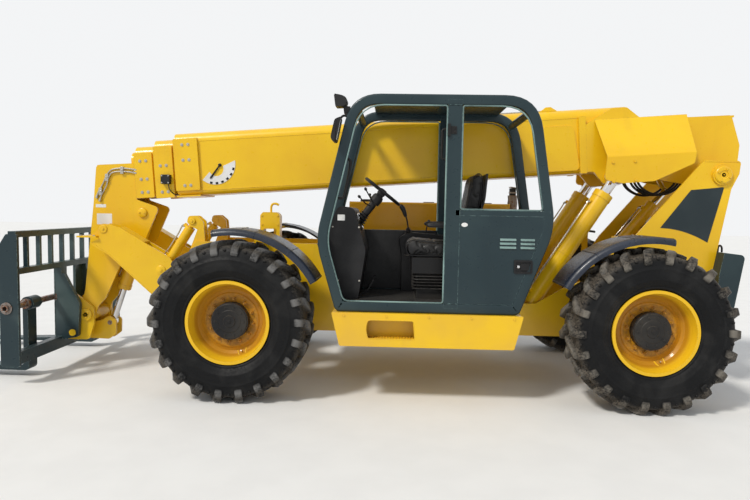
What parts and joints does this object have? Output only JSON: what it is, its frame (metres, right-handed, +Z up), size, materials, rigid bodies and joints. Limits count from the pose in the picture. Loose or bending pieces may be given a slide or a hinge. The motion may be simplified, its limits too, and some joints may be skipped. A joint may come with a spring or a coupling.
{
  "type": "telehandler",
  "caption": "Telescopic handler with a four-section boom beside an open cab, pallet forks, front stabilisers and large steered wheels on both axles.",
  "frame": {"origin": "on the ground under the middle of the overall length and width", "axes": "+X forward towards the fork tips, +Y to the cab's side, +Z up"},
  "size_m": [7.9824, 2.59, 2.6739],
  "materials": {
    "yellow_paint": "semi-gloss machine enamel, slightly worn at edges",
    "green_paint": "dark grey-green enamel",
    "black_paint": "satin black",
    "tyre": "dusty rubber",
    "chrome_rod": "hard chrome",
    "black_plastic": "moulded, slight sheen",
    "seat_vinyl": "black vinyl"
  },
  "bodies": {
    "root": {"chassis_frame": "yellow_paint", "counterweight": "green_paint", "front_axle": "black_paint", "rear_axle": "black_paint", "cab_frame": "green_paint", "cab_panels": "green_paint", "cab_floor": "black_paint", "console": "black_plastic", "seat_base": "black_paint", "seat_pads": "seat_vinyl", "step_box": "yellow_paint", "fenders": "black_plastic", "engine_block": "black_paint", "engine_hood": "yellow_paint", "exhaust": "black_paint", "mirrors": "black_paint"},
    "boom": {"boom_outer": "yellow_paint", "boom_shrouds": "yellow_paint"},
    "second_section": {"boom_second": "yellow_paint"},
    "third_section": {"boom_third": "yellow_paint"},
    "fly_section": {"boom_head": "yellow_paint"},
    "carriage": {"coupler": "yellow_paint", "carriage": "green_paint", "fork_left": "green_paint", "fork_right": "green_paint"},
    "tilt_barrel": {"tilt_barrel": "yellow_paint"},
    "tilt_rod": {"tilt_rod": "chrome_rod"},
    "lift_barrels": {"lift_barrels": "yellow_paint"},
    "lift_rods": {"lift_rods": "chrome_rod"},
    "slave_barrel": {"slave_barrel": "yellow_paint"},
    "slave_rod": {"slave_rod": "chrome_rod"},
    "front_steer_rod": {"front_steer_rod": "chrome_rod"},
    "rear_steer_rod": {"rear_steer_rod": "chrome_rod"},
    "steering_wheel": {"steering_wheel": "black_plastic"},
    "stabiliser_left_arm": {"stabiliser_arm_left": "yellow_paint"},
    "stabiliser_left_barrel": {"stabiliser_barrel_left": "yellow_paint"},
    "stabiliser_left_rod": {"stabiliser_rod_left": "chrome_rod"},
    "stabiliser_left_foot": {"stabiliser_pad_left": "yellow_paint"},
    "stabiliser_right_arm": {"stabiliser_arm_right": "yellow_paint"},
    "stabiliser_right_barrel": {"stabiliser_barrel_right": "yellow_paint"},
    "stabiliser_right_rod": {"stabiliser_rod_right": "chrome_rod"},
    "stabiliser_right_foot": {"stabiliser_pad_right": "yellow_paint"},
    "knuckle_front_left": {"knuckle_front_left": "black_paint"},
    "wheel_front_left": {"tyre_front_left": "tyre", "rim_front_left": "yellow_paint"},
    "knuckle_front_right": {"knuckle_front_right": "black_paint"},
    "wheel_front_right": {"tyre_front_right": "tyre", "rim_front_right": "yellow_paint"},
    "knuckle_rear_left": {"knuckle_rear_left": "black_paint"},
    "wheel_rear_left": {"tyre_rear_left": "tyre", "rim_rear_left": "yellow_paint"},
    "knuckle_rear_right": {"knuckle_rear_right": "black_paint"},
    "wheel_rear_right": {"tyre_rear_right": "tyre", "rim_rear_right": "yellow_paint"}
  },
  "joints": [
    {"name": "boom_lift", "type": "hinge", "parent": "root", "child": "boom", "pos_m": [-3.72778, 0, 2.008], "axis": [0, -1, 0], "range_deg": [0, 74]},
    {"name": "boom_extend", "type": "slide", "parent": "boom", "child": "second_section", "axis": [0.9973, 0, -0.0732], "range_m": [0, 3.05]},
    {"name": "boom_extend_third", "type": "slide", "parent": "second_section", "child": "third_section", "axis": [0.9973, 0, -0.0732], "range_m": [0, 3.051]},
    {"name": "boom_extend_fly", "type": "slide", "parent": "third_section", "child": "fly_section", "axis": [0.9973, 0, -0.0732], "range_m": [0, 3.051]},
    {"name": "fork_tilt", "type": "hinge", "parent": "fly_section", "child": "carriage", "pos_m": [2.37622, 0, 0.52], "axis": [0, -1, 0], "range_deg": [-75, 12]},
    {"name": "tilt_cylinder_swing", "type": "hinge", "parent": "fly_section", "child": "tilt_barrel", "pos_m": [1.80122, 0, 1.56], "axis": [0, -1, 0], "range_deg": [-1.2, 6.69]},
    {"name": "tilt_cylinder_stroke", "type": "slide", "parent": "tilt_barrel", "child": "tilt_rod", "axis": [0.3274, 0, -0.9449], "range_m": [-0.22325, 0.03997]},
    {"name": "lift_cylinder_swing", "type": "hinge", "parent": "root", "child": "lift_barrels", "pos_m": [-1.98878, 0, 0.68], "axis": [0, -1, 0], "range_deg": [0, 1.49]},
    {"name": "lift_cylinder_stroke", "type": "slide", "parent": "lift_barrels", "child": "lift_rods", "axis": [-0.5305, 0, 0.8477], "range_m": [0, 1.13201]},
    {"name": "slave_cylinder_swing", "type": "hinge", "parent": "root", "child": "slave_barrel", "pos_m": [-2.74878, 0, 1.03], "axis": [0, -1, 0], "range_deg": [-4.15, 0]},
    {"name": "slave_cylinder_stroke", "type": "slide", "parent": "slave_barrel", "child": "slave_rod", "axis": [-0.6223, 0, 0.7828], "range_m": [0, 0.32633]},
    {"name": "stabiliser_left", "type": "hinge", "parent": "root", "child": "stabiliser_left_arm", "pos_m": [1.34122, 0.375, 0.81], "axis": [0, 1, 0], "range_deg": [0, 88]},
    {"name": "stabiliser_left_cylinder_swing", "type": "hinge", "parent": "root", "child": "stabiliser_left_barrel", "pos_m": [1.20122, 0.375, 1.49], "axis": [0, 1, 0], "range_deg": [0, 9.65]},
    {"name": "stabiliser_left_cylinder_stroke", "type": "slide", "parent": "stabiliser_left_barrel", "child": "stabiliser_left_rod", "axis": [0.5332, 0, -0.846], "range_m": [0, 0.34729]},
    {"name": "stabiliser_left_foot", "type": "hinge", "parent": "stabiliser_left_arm", "child": "stabiliser_left_foot", "pos_m": [2.06122, 0.375, 1.4], "axis": [0, 1, 0], "range_deg": [-89.76, 0]},
    {"name": "stabiliser_right", "type": "hinge", "parent": "root", "child": "stabiliser_right_arm", "pos_m": [1.34122, -0.375, 0.81], "axis": [0, 1, 0], "range_deg": [0, 88]},
    {"name": "stabiliser_right_cylinder_swing", "type": "hinge", "parent": "root", "child": "stabiliser_right_barrel", "pos_m": [1.20122, -0.375, 1.49], "axis": [0, 1, 0], "range_deg": [0, 9.65]},
    {"name": "stabiliser_right_cylinder_stroke", "type": "slide", "parent": "stabiliser_right_barrel", "child": "stabiliser_right_rod", "axis": [0.5332, 0, -0.846], "range_m": [0, 0.34729]},
    {"name": "stabiliser_right_foot", "type": "hinge", "parent": "stabiliser_right_arm", "child": "stabiliser_right_foot", "pos_m": [2.06122, -0.375, 1.4], "axis": [0, 1, 0], "range_deg": [-89.76, 0]},
    {"name": "steer_front", "type": "hinge", "parent": "root", "child": "knuckle_front_left", "pos_m": [0.62822, 0.89, 0.67946], "axis": [0, 0, 1], "range_deg": [-35, 35]},
    {"name": "steer_front_right", "type": "hinge", "parent": "root", "child": "knuckle_front_right", "pos_m": [0.62822, -0.89, 0.67946], "axis": [0, 0, 1], "range_deg": [-35.5, 35.5]},
    {"name": "steer_front_rod", "type": "slide", "parent": "root", "child": "front_steer_rod", "axis": [0, 1, 0], "range_m": [-0.10439, 0.10439]},
    {"name": "wheel_front_left", "type": "hinge", "parent": "knuckle_front_left", "child": "wheel_front_left", "pos_m": [0.62822, 1.0725, 0.67946], "axis": [0, 1, 0], "continuous": true},
    {"name": "wheel_front_right", "type": "hinge", "parent": "knuckle_front_right", "child": "wheel_front_right", "pos_m": [0.62822, -1.0725, 0.67946], "axis": [0, 1, 0], "continuous": true},
    {"name": "steer_rear", "type": "hinge", "parent": "root", "child": "knuckle_rear_left", "pos_m": [-2.84878, 0.89, 0.67946], "axis": [0, 0, 1], "range_deg": [-35, 35]},
    {"name": "steer_rear_right", "type": "hinge", "parent": "root", "child": "knuckle_rear_right", "pos_m": [-2.84878, -0.89, 0.67946], "axis": [0, 0, 1], "range_deg": [-35.5, 35.5]},
    {"name": "steer_rear_rod", "type": "slide", "parent": "root", "child": "rear_steer_rod", "axis": [0, 1, 0], "range_m": [-0.10439, 0.10439]},
    {"name": "wheel_rear_left", "type": "hinge", "parent": "knuckle_rear_left", "child": "wheel_rear_left", "pos_m": [-2.84878, 1.0725, 0.67946], "axis": [0, 1, 0], "continuous": true},
    {"name": "wheel_rear_right", "type": "hinge", "parent": "knuckle_rear_right", "child": "wheel_rear_right", "pos_m": [-2.84878, -1.0725, 0.67946], "axis": [0, 1, 0], "continuous": true},
    {"name": "steering_wheel", "type": "hinge", "parent": "root", "child": "steering_wheel", "pos_m": [-0.61878, 0.69, 1.795], "axis": [-0.608, 0, 0.794], "range_deg": [-351, 351]}
  ],
  "couplings": [
    {"joint": "boom_extend_third", "follows": "boom_extend", "ratio": 1},
    {"joint": "boom_extend_fly", "follows": "boom_extend", "ratio": 1},
    {"joint": "tilt_cylinder_swing", "follows": "fork_tilt", "ratio": -0.087217},
    {"joint": "tilt_cylinder_stroke", "follows": "fork_tilt", "m_per_rad": 0.16669},
    {"joint": "lift_cylinder_swing", "follows": "boom_lift", "ratio": 0.019798},
    {"joint": "lift_cylinder_stroke", "follows": "boom_lift", "m_per_rad": 0.85929},
    {"joint": "slave_cylinder_swing", "follows": "boom_lift", "ratio": -0.054932},
    {"joint": "slave_cylinder_stroke", "follows": "boom_lift", "m_per_rad": 0.24771},
    {"joint": "stabiliser_left_cylinder_swing", "follows": "stabiliser_left", "ratio": 0.10747},
    {"joint": "stabiliser_left_cylinder_stroke", "follows": "stabiliser_left", "m_per_rad": 0.22168},
    {"joint": "stabiliser_left_foot", "follows": "stabiliser_left", "ratio": -1},
    {"joint": "stabiliser_right_cylinder_swing", "follows": "stabiliser_right", "ratio": 0.10747},
    {"joint": "stabiliser_right_cylinder_stroke", "follows": "stabiliser_right", "m_per_rad": 0.22168},
    {"joint": "stabiliser_right_foot", "follows": "stabiliser_right", "ratio": -1},
    {"joint": "steer_front_right", "follows": "steer_front", "ratio": 1},
    {"joint": "steer_front_rod", "follows": "steer_front", "m_per_rad": 0.16432},
    {"joint": "steer_rear_right", "follows": "steer_rear", "ratio": 1},
    {"joint": "steer_rear_rod", "follows": "steer_rear", "m_per_rad": -0.16432},
    {"joint": "steering_wheel", "follows": "steer_front", "ratio": 10}
  ]
}
